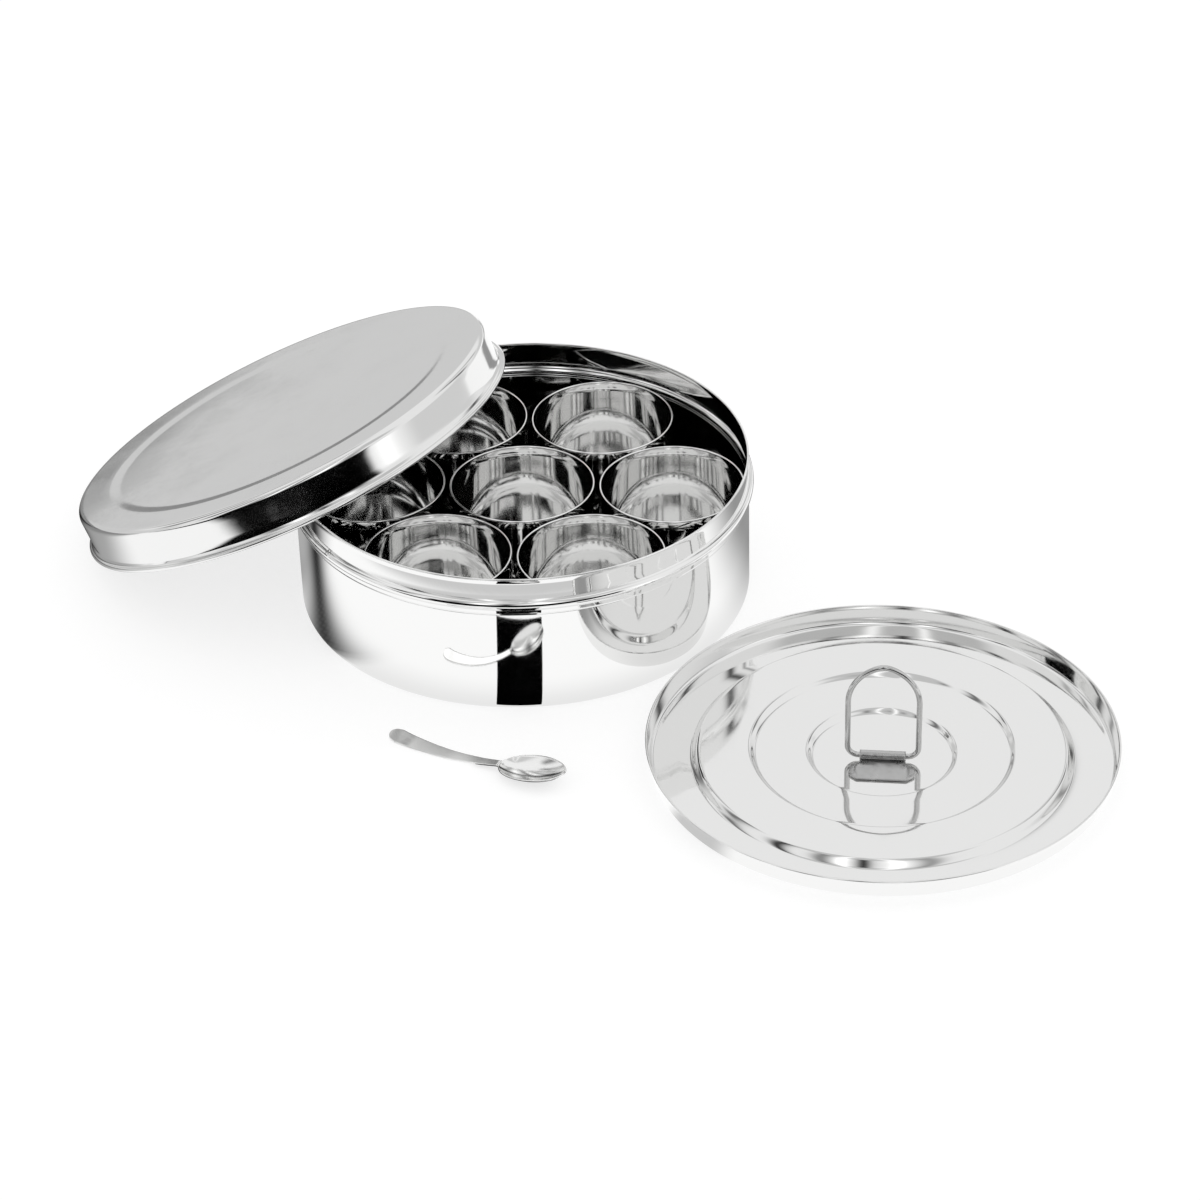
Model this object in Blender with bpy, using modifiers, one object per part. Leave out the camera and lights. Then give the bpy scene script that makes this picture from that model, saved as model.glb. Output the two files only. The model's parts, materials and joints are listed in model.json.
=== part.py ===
"""Round steel spice box (masala dabba), laid out open on a table.

A deep round box with a rolled bead holds seven loose cups. Its outer lid leans
on the rim, and its flat inner lid, with a folding wire ring, lies beside it
with a small spoon. Lengths are in metres, +Z is up, and the origin is the
centre of the box's base, on the table.
"""

import math

import bmesh
import bpy
from mathutils import Matrix, Vector

MM = 0.001

# Box
BOX_RADIUS = 110.0 * MM         # outside of the wall
BOX_HEIGHT = 73.8 * MM
BOX_CORNER = 5.0 * MM           # outer radius between base and wall
BOX_SHEET = 0.6 * MM
SHOULDER_HEIGHT = 55.0 * MM     # where the wall steps out below the bead
SHOULDER_STEP = 0.5 * MM
BEAD_HEIGHT = 59.8 * MM         # middle of the bead that stops the lid
BEAD_ROLL = 2.1 * MM            # radius of the bead's roll
BEAD_RADIUS = 112.3 * MM        # outside of the bead
BEAD_BLEND = 0.9 * MM           # from the bead to the neck
NECK_RADIUS = 109.8 * MM        # outside of the neck that the lid slides over
NECK_HEM = 0.5 * MM

# Cups
CUP_RADIUS = 35.3 * MM          # outside of the rolled rim
CUP_RIM_HEIGHT = 57.9 * MM      # above the table
CUP_SHEET = 0.5 * MM
CUP_TAPER = math.radians(1.6)
CUP_CORNER = 8.0 * MM
CUP_HEM = 0.55 * MM
CUP_CIRCLE = 72.7 * MM          # centres of the outer cups
CUP_TURN = math.radians(-3.3)
OUTER_CUPS = 6

# Inner lid, its clip and its ring
INNER_LID_PLACE = (163.4 * MM, -153.7 * MM, 0.0)
INNER_LID_RADIUS = 108.7 * MM
INNER_LID_HEIGHT = 11.3 * MM
INNER_LID_SHEET = 0.6 * MM
INNER_LID_FLARE = 1.6 * MM
INNER_LID_CORNER = 2.2 * MM
INNER_LID_STEPS = (33.4 * MM, 59.8 * MM, 86.0 * MM)
STEP_RISE = 2.5 * MM
STEP_HALF_RUN = 1.8 * MM        # half the width of a pressed step
CHANNEL_HEIGHT = 1.3 * MM       # sheet height in the channel beside the rim
CLIP_YAW = math.radians(-7.0)
CLIP_OFFSET = 4.0 * MM          # of the hinge from the lid's centre, towards the front
CLIP_SHEET = 0.7 * MM
KNUCKLE_STRIP = 6.0 * MM        # how far the knuckle's strip runs from the hinge
KNUCKLE_WIDTH = 21.0 * MM
FLANGE_SIZE = (30.0 * MM, 12.5 * MM)
FLANGE_SHEET = 0.77 * MM
FLANGE_OFFSET = 4.0 * MM        # from the hinge to the flange's nearer edge
FLANGE_CORNER = 4.0 * MM
FLANGE_CORNER_STEPS = 3
WIRE_RADIUS = 1.3 * MM
RING_WIDTH = 32.4 * MM          # between the centres of the two side wires
RING_HEIGHT = 48.6 * MM         # from the hinge to the centre of the top wire
RING_CORNER = 5.0 * MM
RING_ARCH = 20.0 * MM           # radius of each side of the pointed arch
RING_PEAK = 8.0 * MM            # radius at its top

# Outer lid
LID_SKIRT_RADIUS = 111.0 * MM   # outside of the skirt
LID_HEIGHT = 20.5 * MM          # from the middle of the edge bead to the top
LID_SHEET = 0.6 * MM
LID_SHOULDER = 4.0 * MM
LID_PANEL = 90.0 * MM           # radius of the sunk panel
LID_PANEL_SINK = 1.0 * MM
LID_PANEL_HALF_RUN = 1.6 * MM   # half the width of the step round the panel
LID_FLARE_HEIGHTS = (3.6 * MM, 1.5 * MM)    # where the skirt's flare starts and steepens
LID_FLARE_OUT = 0.7 * MM        # how far out it is by then
LID_BEAD = 1.2 * MM
LID_BEAD_RADIUS = 112.8 * MM    # centre line of the edge bead
LID_LEAN = math.radians(24.5)
LID_HEADING = math.radians(-24.8)   # from the lid towards the box
LID_REACH = 125.0 * MM              # from the box's axis back along the heading
LID_ASIDE = 1.1 * MM                # sideways from the heading through the box's axis
LID_STAND = 0.3 * MM                # under the lowest point of its bead

# Spoon
SPOON_MIDDLE = (-22.7 * MM, -150.1 * MM, 0.0)
SPOON_HEADING = math.radians(-25.5)
SPOON_LENGTH = 89.8 * MM
SPOON_SHEET = 0.9 * MM
HANDLE_HALF_WIDTH = 5.3 * MM
NECK_HALF_WIDTH = 2.0 * MM
BOWL_HALF_WIDTH = 10.2 * MM
BOWL_HALF_LENGTH = 16.4 * MM
BOWL_DEPTH = 4.5 * MM

GAP = 0.3 * MM                  # between pieces that touch

BOX_TURN_STEPS = 48
CUP_TURN_STEPS = 24


# ---------------------------------------------------------------- profiles

def arc(centre, radius, start, end, steps):
    """Points on an arc, with angles in degrees."""
    angles = [math.radians(start + (end - start) * i / steps) for i in range(steps + 1)]
    return [(centre[0] + radius * math.cos(a), centre[1] + radius * math.sin(a)) for a in angles]


def pressed_step(start, end, steps=3):
    """Smooth step between two levels of a pressed sheet."""
    points = []
    for i in range(steps + 1):
        t = i / steps
        ease = (1 - math.cos(math.pi * t)) / 2
        points.append((start[0] + (end[0] - start[0]) * t, start[1] + (end[1] - start[1]) * ease))
    return points


def beside(path, distance):
    """The path moved sideways, to its left for a positive distance."""
    points = [Vector(point) for point in path]
    moved = []
    for i, point in enumerate(points):
        before = point - points[i - 1] if i > 0 else points[1] - point
        after = points[i + 1] - point if i + 1 < len(points) else before
        before.normalize()
        after.normalize()
        along = (before + after).normalized()
        normal = Vector((-along.y, along.x))
        moved.append(point + normal * (distance / along.dot(before)))
    return moved


def hemmed_sheet(path, thickness, hem_radius, hem_steps):
    """Outline of a sheet along a path from the axis to its edge, with a round hem there."""
    end = Vector(path[-1])
    along = (end - Vector(path[-2])).normalized()
    left = Vector((-along.y, along.x))
    sheet = path[:-1] + [tuple(end - along * hem_radius)]
    hem = []
    for i in range(hem_steps + 1):
        turn = math.radians(-35 + 250 * i / hem_steps)
        hem.append(end + hem_radius * (math.cos(turn) * left + math.sin(turn) * along))
    return beside(sheet, thickness / 2) + hem + beside(sheet, -thickness / 2)[::-1]


# ---------------------------------------------------------------- scene helpers

def clear_scene():
    for thing in list(bpy.data.objects):
        bpy.data.objects.remove(thing, do_unlink=True)


def new_collection(name):
    collection = bpy.data.collections.new(name)
    bpy.context.scene.collection.children.link(collection)
    return collection


def steel(name, grey, roughness):
    """A polished stainless steel material for one sub-part."""
    material = bpy.data.materials.new(name)
    material.use_nodes = True
    shader = material.node_tree.nodes["Principled BSDF"]
    shader.inputs["Base Color"].default_value = (grey, grey, grey * 0.99, 1)
    shader.inputs["Metallic"].default_value = 1.0
    shader.inputs["Roughness"].default_value = roughness
    return material


def add_object(collection, name, data, material):
    thing = bpy.data.objects.new(name, data)
    collection.objects.link(thing)
    thing.data.materials.append(material)
    return thing


def smooth(thing):
    thing.data.shade_smooth()


def turned(collection, name, outline, steps, material):
    """A body turned about Z from an outline that starts and ends on the axis."""
    mesh = bpy.data.meshes.new(name)
    edges = [(i, i + 1) for i in range(len(outline) - 1)]
    mesh.from_pydata([(point[0], 0.0, point[1]) for point in outline], edges, [])
    thing = add_object(collection, name, mesh, material)
    screw = thing.modifiers.new("Turn", "SCREW")
    screw.axis = "Z"
    screw.angle = math.tau
    screw.steps = steps
    screw.render_steps = steps
    screw.use_merge_vertices = True
    screw.merge_threshold = 0.00001
    screw.use_smooth_shade = True
    return thing


def apply_modifiers(thing):
    """Replace an object's mesh by its evaluated mesh."""
    graph = bpy.context.evaluated_depsgraph_get()
    mesh = bpy.data.meshes.new_from_object(thing.evaluated_get(graph))
    thing.modifiers.clear()
    thing.data = mesh


# ---------------------------------------------------------------- box and cups

def box_path():
    """Middle of the box's sheet, from the centre of the base to the rim."""
    half = BOX_SHEET / 2
    wall = BOX_RADIUS - half
    corner = BOX_CORNER - half
    shoulder = wall + SHOULDER_STEP
    bead_centre = (BEAD_RADIUS - half - BEAD_ROLL, BEAD_HEIGHT)
    neck = NECK_RADIUS - half
    path = [(0.0, half)]
    path += arc((wall - corner, half + corner), corner, -90, 0, 4)
    path += [(wall, SHOULDER_HEIGHT - MM), (shoulder, SHOULDER_HEIGHT)]
    path += arc(bead_centre, BEAD_ROLL, -60, 75, 4)
    path += [(neck, BEAD_HEIGHT + BEAD_ROLL + BEAD_BLEND), (neck, BOX_HEIGHT - NECK_HEM)]
    return path


def cup_path():
    """Middle of a cup's sheet, with the underside of its base at height zero."""
    half = CUP_SHEET / 2
    height = CUP_RIM_HEIGHT - BOX_SHEET - GAP
    rim = CUP_RADIUS - CUP_HEM
    corner = CUP_CORNER - half
    foot = rim - (height - corner) * math.tan(CUP_TAPER) - corner
    path = [(0.0, half)]
    path += arc((foot, half + corner), corner, -90, -math.degrees(CUP_TAPER), 3)
    path += [(rim, height - CUP_HEM)]
    return path


def build_box(collection):
    outline = hemmed_sheet(box_path(), BOX_SHEET, NECK_HEM, 4)
    turned(collection, "box_body", outline, BOX_TURN_STEPS, steel("box_steel", 0.80, 0.05))


def build_cups(collection):
    outline = hemmed_sheet(cup_path(), CUP_SHEET, CUP_HEM, 4)
    floor = BOX_SHEET + GAP
    names = ["cup_centre"] + ["cup_%d" % (i + 1) for i in range(OUTER_CUPS)]
    for i, name in enumerate(names):
        reach = CUP_CIRCLE if i else 0.0
        turn = CUP_TURN + math.tau * (i - 1) / OUTER_CUPS
        cup = turned(collection, name, outline, CUP_TURN_STEPS, steel(name + "_steel", 0.76, 0.08))
        cup.location = (reach * math.cos(turn), reach * math.sin(turn), floor)


# ---------------------------------------------------------------- inner lid

def inner_lid_path():
    """Middle of the inner lid's sheet: three pressed steps, a channel and a flared rim."""
    half = INNER_LID_SHEET / 2
    first, second, third = INNER_LID_STEPS
    low = half
    middle = low + STEP_RISE
    high = middle + STEP_RISE
    run = STEP_HALF_RUN
    rim = INNER_LID_RADIUS - NECK_HEM
    lean = math.atan2(INNER_LID_FLARE, INNER_LID_HEIGHT - CHANNEL_HEIGHT)
    corner = INNER_LID_CORNER
    foot = rim - INNER_LID_FLARE - corner
    path = [(0.0, low)]
    path += pressed_step((first - run, low), (first + run, middle))
    path += pressed_step((second - run, middle), (second + run, high))
    path += pressed_step((third - run, high), (third + run, CHANNEL_HEIGHT))
    path += arc((foot, CHANNEL_HEIGHT + corner), corner, -90, -math.degrees(lean), 2)
    path += [(rim, INNER_LID_HEIGHT - NECK_HEM)]
    return path


def hinge_height():
    """Height of the ring's axis: the knuckle's roll stands on the plate."""
    return INNER_LID_SHEET + GAP + CLIP_SHEET + WIRE_RADIUS + GAP


def flat_outline(collection, name, points, width, material):
    """A closed outline in the YZ plane, as a solid of the given width along X."""
    curve = bpy.data.curves.new(name, "CURVE")
    curve.dimensions = "2D"
    curve.fill_mode = "BOTH"
    curve.extrude = width / 2
    spline = curve.splines.new("POLY")
    spline.points.add(len(points) - 1)
    for vertex, point in zip(spline.points, points):
        vertex.co = (point[0], point[1], 0.0, 1.0)
    spline.use_cyclic_u = True
    thing = bpy.data.objects.new(name, curve)
    collection.objects.link(thing)
    thing.data.materials.append(material)
    thing.matrix_world = Matrix(((0, 0, 1, 0), (1, 0, 0, 0), (0, 1, 0, 0), (0, 0, 0, 1)))
    return thing


def mesh_from_curve(collection, curve_object):
    """The curve's solid as a closed mesh object that a Boolean can use."""
    bpy.context.view_layer.update()
    graph = bpy.context.evaluated_depsgraph_get()
    mesh = bpy.data.meshes.new_from_object(curve_object.evaluated_get(graph))
    work = bmesh.new()
    work.from_mesh(mesh)
    bmesh.ops.remove_doubles(work, verts=work.verts, dist=0.000001)
    bmesh.ops.recalc_face_normals(work, faces=work.faces)
    work.to_mesh(mesh)
    work.free()
    name = curve_object.name
    world = curve_object.matrix_world.copy()
    bpy.data.objects.remove(curve_object, do_unlink=True)
    solid = bpy.data.objects.new(name, mesh)
    collection.objects.link(solid)
    solid.matrix_world = world
    return solid


def knuckle_outline():
    """The strip that comes off the flange and rolls round the ring's bar, seen along X."""
    roll = WIRE_RADIUS + GAP + CLIP_SHEET / 2
    strip = [(-KNUCKLE_STRIP, -roll)]
    strip += arc((0.0, 0.0), roll, -90, 205, 14)
    outer = beside(strip, -CLIP_SHEET / 2)
    inner = beside(strip, CLIP_SHEET / 2)
    return outer + inner[::-1]


def flange_guide(cutters):
    """The flange plate with rounded corners, to be joined to the knuckle."""
    mesh = bpy.data.meshes.new("flange")
    work = bmesh.new()
    bmesh.ops.create_cube(work, size=1.0)
    bmesh.ops.scale(work, verts=work.verts, vec=(FLANGE_SIZE[0], FLANGE_SIZE[1], FLANGE_SHEET))
    upright = [e for e in work.edges if abs(e.verts[0].co.z - e.verts[1].co.z) > FLANGE_SHEET / 2]
    bmesh.ops.bevel(work, geom=upright, offset=FLANGE_CORNER, segments=FLANGE_CORNER_STEPS,
                    profile=0.5, affect="EDGES", material=-1)
    work.to_mesh(mesh)
    work.free()
    flange = bpy.data.objects.new("flange", mesh)
    cutters.objects.link(flange)
    flange.hide_render = True
    flange.display_type = "WIRE"
    level = -(WIRE_RADIUS + GAP + FLANGE_SHEET / 2)
    flange.location = (0.0, -FLANGE_OFFSET - FLANGE_SIZE[1] / 2, level)
    return flange


def build_clip(collection, cutters, lid):
    """Rolled knuckle and welded flange that hold the ring on the inner lid."""
    material = steel("clip_steel", 0.62, 0.16)
    strip = flat_outline(collection, "handle_clip", knuckle_outline(), KNUCKLE_WIDTH, material)
    clip = mesh_from_curve(collection, strip)
    join = clip.modifiers.new("Flange", "BOOLEAN")
    join.operation = "UNION"
    join.solver = "EXACT"
    join.object = flange_guide(cutters)
    bpy.context.view_layer.update()
    apply_modifiers(clip)
    smooth(clip)
    clip.data.set_sharp_from_angle(angle=math.radians(35))
    clip.data.transform(clip.matrix_world)
    clip.parent = lid
    clip.matrix_world = Matrix.Identity(4)
    clip.location = (0.0, -CLIP_OFFSET, hinge_height())
    clip.rotation_euler = (0.0, 0.0, CLIP_YAW)


def ring_route():
    """Centre line of the wire ring in its own plane, hinge bar along X at height zero."""
    half = RING_WIDTH / 2
    corner = RING_CORNER
    lean = math.degrees(math.acos((RING_ARCH - half) / (RING_ARCH - RING_PEAK)))
    peak = RING_HEIGHT - RING_PEAK
    spring = peak - (RING_ARCH - RING_PEAK) * math.sin(math.radians(lean))
    points = arc((half - corner, corner), corner, -90, 0, 4)
    points += arc((half - RING_ARCH, spring), RING_ARCH, 0, lean, 5)
    points += arc((0.0, peak), RING_PEAK, lean, 90, 2)[1:]
    left = [(-x, z) for x, z in reversed(points[:-1])]
    return points + left


def build_ring(collection, lid):
    curve = bpy.data.curves.new("ring_handle", "CURVE")
    curve.dimensions = "3D"
    curve.bevel_depth = WIRE_RADIUS
    curve.bevel_resolution = 2
    spline = curve.splines.new("POLY")
    route = ring_route()
    spline.points.add(len(route) - 1)
    for vertex, (x, z) in zip(spline.points, route):
        vertex.co = (x, 0.0, z, 1.0)
    spline.use_cyclic_u = True
    spline.use_smooth = True
    ring = add_object(collection, "ring_handle", curve, steel("ring_steel", 0.66, 0.12))
    ring.parent = lid
    ring.location = (0.0, -CLIP_OFFSET, hinge_height())
    ring.rotation_euler = (0.0, 0.0, CLIP_YAW)


def build_inner_lid(collection, cutters):
    outline = hemmed_sheet(inner_lid_path(), INNER_LID_SHEET, NECK_HEM, 4)
    material = steel("inner_lid_steel", 0.80, 0.06)
    lid = turned(collection, "inner_lid", outline, BOX_TURN_STEPS, material)
    lid.location = INNER_LID_PLACE
    build_clip(collection, cutters, lid)
    build_ring(collection, lid)


# ---------------------------------------------------------------- outer lid

def outer_lid_path():
    """Middle of the outer lid's sheet, with its edge bead's centre at height zero."""
    half = LID_SHEET / 2
    top = LID_HEIGHT - half
    skirt = LID_SKIRT_RADIUS - half
    shoulder = LID_SHOULDER - half
    path = [(0.0, top - LID_PANEL_SINK)]
    inside, outside = LID_PANEL - LID_PANEL_HALF_RUN, LID_PANEL + LID_PANEL_HALF_RUN
    path += pressed_step((inside, top - LID_PANEL_SINK), (outside, top))
    path += arc((skirt - shoulder, top - shoulder), shoulder, 90, 0, 4)
    start, steep = LID_FLARE_HEIGHTS
    path += [(skirt, start), (skirt + LID_FLARE_OUT, steep), (LID_BEAD_RADIUS, 0.0)]
    return path


def outer_lid_matrix():
    """The lid leans: its bead stands on the table and on the box's rim."""
    bead_height = LID_BEAD_RADIUS * math.sin(LID_LEAN) + LID_BEAD + LID_STAND
    facing = Matrix.Rotation(LID_HEADING, 4, "Z")
    place = Matrix.Translation((-LID_REACH, LID_ASIDE, bead_height))
    return facing @ place @ Matrix.Rotation(-LID_LEAN, 4, "Y")


def build_outer_lid(collection):
    outline = hemmed_sheet(outer_lid_path(), LID_SHEET, LID_BEAD, 6)
    material = steel("outer_lid_steel", 0.80, 0.07)
    lid = turned(collection, "outer_lid", outline, BOX_TURN_STEPS, material)
    lid.matrix_world = outer_lid_matrix()


# ---------------------------------------------------------------- spoon

def through(knots, s):
    """Smooth curve through hand-set knots (position, value), by cubic Hermite pieces."""
    for i in range(len(knots) - 1):
        if s <= knots[i + 1][0] or i == len(knots) - 2:
            break
    (s0, v0), (s1, v1) = knots[i], knots[i + 1]
    slope = (v1 - v0) / (s1 - s0)
    first = slope if i == 0 else (v1 - knots[i - 1][1]) / (s1 - knots[i - 1][0])
    last = slope if i + 2 == len(knots) else (knots[i + 2][1] - v0) / (knots[i + 2][0] - s0)
    t = (s - s0) / (s1 - s0)
    span = s1 - s0
    return ((2 * t ** 3 - 3 * t ** 2 + 1) * v0 + (t ** 3 - 2 * t ** 2 + t) * span * first
            + (3 * t ** 2 - 2 * t ** 3) * v1 + (t ** 3 - t ** 2) * span * last)


def bowl_share(s):
    """One in the middle of the bowl, falling to zero at its ends."""
    centre = SPOON_LENGTH - BOWL_HALF_LENGTH
    return max(0.0, 1 - ((s - centre) / BOWL_HALF_LENGTH) ** 2)


def spoon_half_width(s):
    neck = SPOON_LENGTH - 2 * BOWL_HALF_LENGTH
    taper = max(0.0, 1 - s / neck) ** 1.4
    handle = NECK_HALF_WIDTH + (HANDLE_HALF_WIDTH - NECK_HALF_WIDTH) * taper
    if s < HANDLE_HALF_WIDTH:
        handle *= math.sqrt(1 - (1 - s / HANDLE_HALF_WIDTH) ** 2)
    if s > SPOON_LENGTH - BOWL_HALF_LENGTH:
        handle = 0.0
    return max(handle, BOWL_HALF_WIDTH * bowl_share(s) ** 0.5, 0.7 * MM)


def spoon_rim_height(s):
    """Height of the handle's middle and of the bowl's rim above the table."""
    knots = [(0.0, 5.2), (12.0, 2.6), (30.0, 1.0), (46.0, 1.7), (57.0, 3.2), (74.0, 5.4), (89.8, 7.3)]
    return through([(position * MM, height * MM) for position, height in knots], s)


def build_spoon(collection):
    """A grid bent into handle and bowl, then given the sheet's thickness."""
    mesh = bpy.data.meshes.new("spoon")
    work = bmesh.new()
    bmesh.ops.create_grid(work, x_segments=26, y_segments=6, size=0.5)
    for vertex in work.verts:
        s = SPOON_LENGTH * (1 - math.cos(math.pi * (vertex.co.x + 0.5))) / 2
        across = 2 * vertex.co.y
        depth = BOWL_DEPTH * bowl_share(s) ** 0.8
        height = spoon_rim_height(s) - depth * (1 - across ** 2)
        vertex.co = (s - SPOON_LENGTH / 2, across * spoon_half_width(s), height)
    work.to_mesh(mesh)
    work.free()
    spoon = add_object(collection, "spoon", mesh, steel("spoon_steel", 0.84, 0.08))
    thicken = spoon.modifiers.new("Sheet", "SOLIDIFY")
    thicken.thickness = SPOON_SHEET
    thicken.offset = 0.0
    smooth(spoon)
    spoon.location = SPOON_MIDDLE
    spoon.rotation_euler = (0.0, 0.0, SPOON_HEADING)


def main():
    clear_scene()
    parts = new_collection("masala_dabba")
    cutters = new_collection("masala_dabba_guides")
    build_box(parts)
    build_cups(parts)
    build_inner_lid(parts, cutters)
    build_outer_lid(parts)
    build_spoon(parts)


main()
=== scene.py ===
# %% [markdown]
# # A steel masala dabba, laid open
#
# A masala dabba is the round spice box of an Indian kitchen. A deep steel box
# holds seven loose cups, a flat inner lid covers them, and a deep outer lid
# slides over the neck. Here the box stands open, with the outer lid leaning on
# its rim, and the inner lid and a small spoon lying beside it.
#
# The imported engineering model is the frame. Every piece below is shaped again
# with smooth walls and rolled edges, in the frame's own coordinates, and rides
# on the frame's body of the same name.

# %% Load the frame
import json
import math

import bmesh
import bpy
import numpy as np
from mathutils import Matrix, Vector


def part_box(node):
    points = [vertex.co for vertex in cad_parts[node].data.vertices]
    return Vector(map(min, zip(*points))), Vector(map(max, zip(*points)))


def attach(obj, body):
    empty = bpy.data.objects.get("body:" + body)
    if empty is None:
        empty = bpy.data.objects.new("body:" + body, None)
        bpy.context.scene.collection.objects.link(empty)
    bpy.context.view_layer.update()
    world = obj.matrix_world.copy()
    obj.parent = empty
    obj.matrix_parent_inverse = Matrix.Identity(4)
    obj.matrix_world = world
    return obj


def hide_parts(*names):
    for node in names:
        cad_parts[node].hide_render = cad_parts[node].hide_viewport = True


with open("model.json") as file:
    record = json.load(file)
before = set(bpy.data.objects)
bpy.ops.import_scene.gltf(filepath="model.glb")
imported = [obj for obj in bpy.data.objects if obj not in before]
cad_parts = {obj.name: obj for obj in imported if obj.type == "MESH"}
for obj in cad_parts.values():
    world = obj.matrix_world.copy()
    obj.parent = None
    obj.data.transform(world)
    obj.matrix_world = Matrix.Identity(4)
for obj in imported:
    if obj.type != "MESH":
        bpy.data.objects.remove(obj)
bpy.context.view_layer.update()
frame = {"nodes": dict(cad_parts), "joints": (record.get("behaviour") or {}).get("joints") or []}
MM = 0.001

# %% [markdown]
# ## Reading places from the frame
#
# A turned piece has one axis. Its nodes' vertices lie on rings round that axis,
# so the mean of the vertices is on the axis, and the direction in which they
# spread differently from the other two is the axis itself. That is enough to
# put a leaning lid exactly where the frame has it, without copying any angle.

# %% Find a node's middle and its own directions
def node_points(node):
    """A frame node's vertices as an array."""
    mesh = frame["nodes"][node].data
    points = np.empty(len(mesh.vertices) * 3, np.float32)
    mesh.vertices.foreach_get("co", points)
    return np.unique(points.reshape(-1, 3).astype(float).round(7), axis=0)


def own_directions(node):
    """The middle of a node and its three own directions, from least to most spread."""
    points = node_points(node)
    middle = points.mean(axis=0)
    _, directions = np.linalg.eigh(np.cov((points - middle).T))
    return Vector(middle), [Vector(directions[:, i]) for i in range(3)]


def lid_place(node):
    """A matrix that carries a lid turned about Z, with its edge at height zero, to its place."""
    middle, directions = own_directions(node)
    axis = directions[0] if directions[0].z > 0 else -directions[0]
    heights = [(Vector(point) - middle).dot(axis) for point in node_points(node)]
    edge = middle + axis * (min(heights) + LID_EDGE_ROLL)
    across = Vector((1, 0, 0)) - axis * axis.x
    across.normalize()
    turn = Matrix((across, axis.cross(across), axis)).transposed().to_4x4()
    return Matrix.Translation(edge) @ turn


def node_middle(node):
    """Middle of a node's box."""
    low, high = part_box(node)
    return (low + high) / 2


# %% [markdown]
# ## The camera
#
# The box is seen from the front and well above, through a long lens, so its
# rings stay close to true ellipses. The camera leans a little to one side.

# %% Set up the camera
CAMERA_PLACE = (0.0361, -1.5282, 1.0012)
CAMERA_PITCH = math.radians(33.53)      # below the horizon
CAMERA_ROLL = math.radians(-1.67)
CAMERA_LENS = 111.0

camera_data = bpy.data.cameras.new("table_camera")
camera_data.lens = CAMERA_LENS
camera_data.sensor_width = 36.0
camera_data.clip_end = 20.0
camera = bpy.data.objects.new("table_camera", camera_data)
bpy.context.scene.collection.objects.link(camera)
pitch = Matrix.Rotation(math.pi / 2 - CAMERA_PITCH, 4, "X")
camera.matrix_world = Matrix.Translation(CAMERA_PLACE) @ pitch @ Matrix.Rotation(CAMERA_ROLL, 4, "Z")
bpy.context.scene.camera = camera
print("camera lens:", CAMERA_LENS, "mm")

# %% [markdown]
# ## Sheet steel, and how its edge is rolled
#
# Every part of the box is pressed or spun from one thin sheet, and its sharp
# edge is rolled over. So each turned piece starts as the line that the middle
# of its sheet follows, from the axis to the edge. The line is given its
# thickness on both sides, and a round hem at its end.

# %% Draw arcs and pressed steps
def arc(centre, radius, start, end, steps):
    """Points on an arc, with angles in degrees."""
    angles = [math.radians(start + (end - start) * i / steps) for i in range(steps + 1)]
    return [(centre[0] + radius * math.cos(a), centre[1] + radius * math.sin(a)) for a in angles]


def straight(start, end, steps):
    """Points on a straight stretch, without its first one."""
    return [(start[0] + (end[0] - start[0]) * i / steps, start[1] + (end[1] - start[1]) * i / steps)
            for i in range(1, steps + 1)]


def pressed_step(start, end, steps=10):
    """Smooth step between two levels of a pressed sheet."""
    points = []
    for i in range(steps + 1):
        t = i / steps
        ease = (1 - math.cos(math.pi * t)) / 2
        points.append((start[0] + (end[0] - start[0]) * t, start[1] + (end[1] - start[1]) * ease))
    return points


def rounded(path, radius, steps=5):
    """The path with every inner corner sharper than 12 degrees rounded off."""
    points = [Vector(point) for point in path]
    result = [points[0]]
    for before, point, after in zip(points, points[1:], points[2:]):
        back, onward = before - point, after - point
        bend = math.pi - back.angle(onward)
        if bend < math.radians(12):
            result.append(point)
            continue
        cut = min(radius * math.tan(bend / 2), back.length * 0.45, onward.length * 0.45)
        first, last = point + back.normalized() * cut, point + onward.normalized() * cut
        for i in range(steps + 1):
            t = i / steps
            result.append(first * (1 - t) ** 2 + point * 2 * t * (1 - t) + last * t ** 2)
    return [tuple(point) for point in result + [points[-1]]]


# %% Give the line its thickness and its hem
HEM_START = -42                 # degrees from the sheet's left side
HEM_SWEEP = 264


def beside(path, distance):
    """The path moved sideways, to its left for a positive distance."""
    points = [Vector(point) for point in path]
    moved = []
    for i, point in enumerate(points):
        before = point - points[i - 1] if i > 0 else points[1] - point
        after = points[i + 1] - point if i + 1 < len(points) else before
        before.normalize()
        after.normalize()
        along = (before + after).normalized()
        normal = Vector((-along.y, along.x))
        moved.append(point + normal * (distance / max(along.dot(before), 0.5)))
    return moved


def hemmed_sheet(path, thickness, hem_radius, hem_steps=16):
    """Outline of a sheet along a path from the axis to its edge, with a round hem there."""
    end = Vector(path[-1])
    along = (end - Vector(path[-2])).normalized()
    left = Vector((-along.y, along.x))
    sheet = path[:-1] + [tuple(end - along * hem_radius)]
    hem = []
    for i in range(hem_steps + 1):
        turn = math.radians(HEM_START + HEM_SWEEP * i / hem_steps)
        hem.append(end + hem_radius * (math.cos(turn) * left + math.sin(turn) * along))
    return beside(sheet, thickness / 2) + hem + beside(sheet, -thickness / 2)[::-1]


# %% Turn an outline into a body
def finished_mesh(name, work):
    """The bmesh as a mesh, and the bmesh freed."""
    mesh = bpy.data.meshes.new(name)
    work.to_mesh(mesh)
    work.free()
    return mesh


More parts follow.
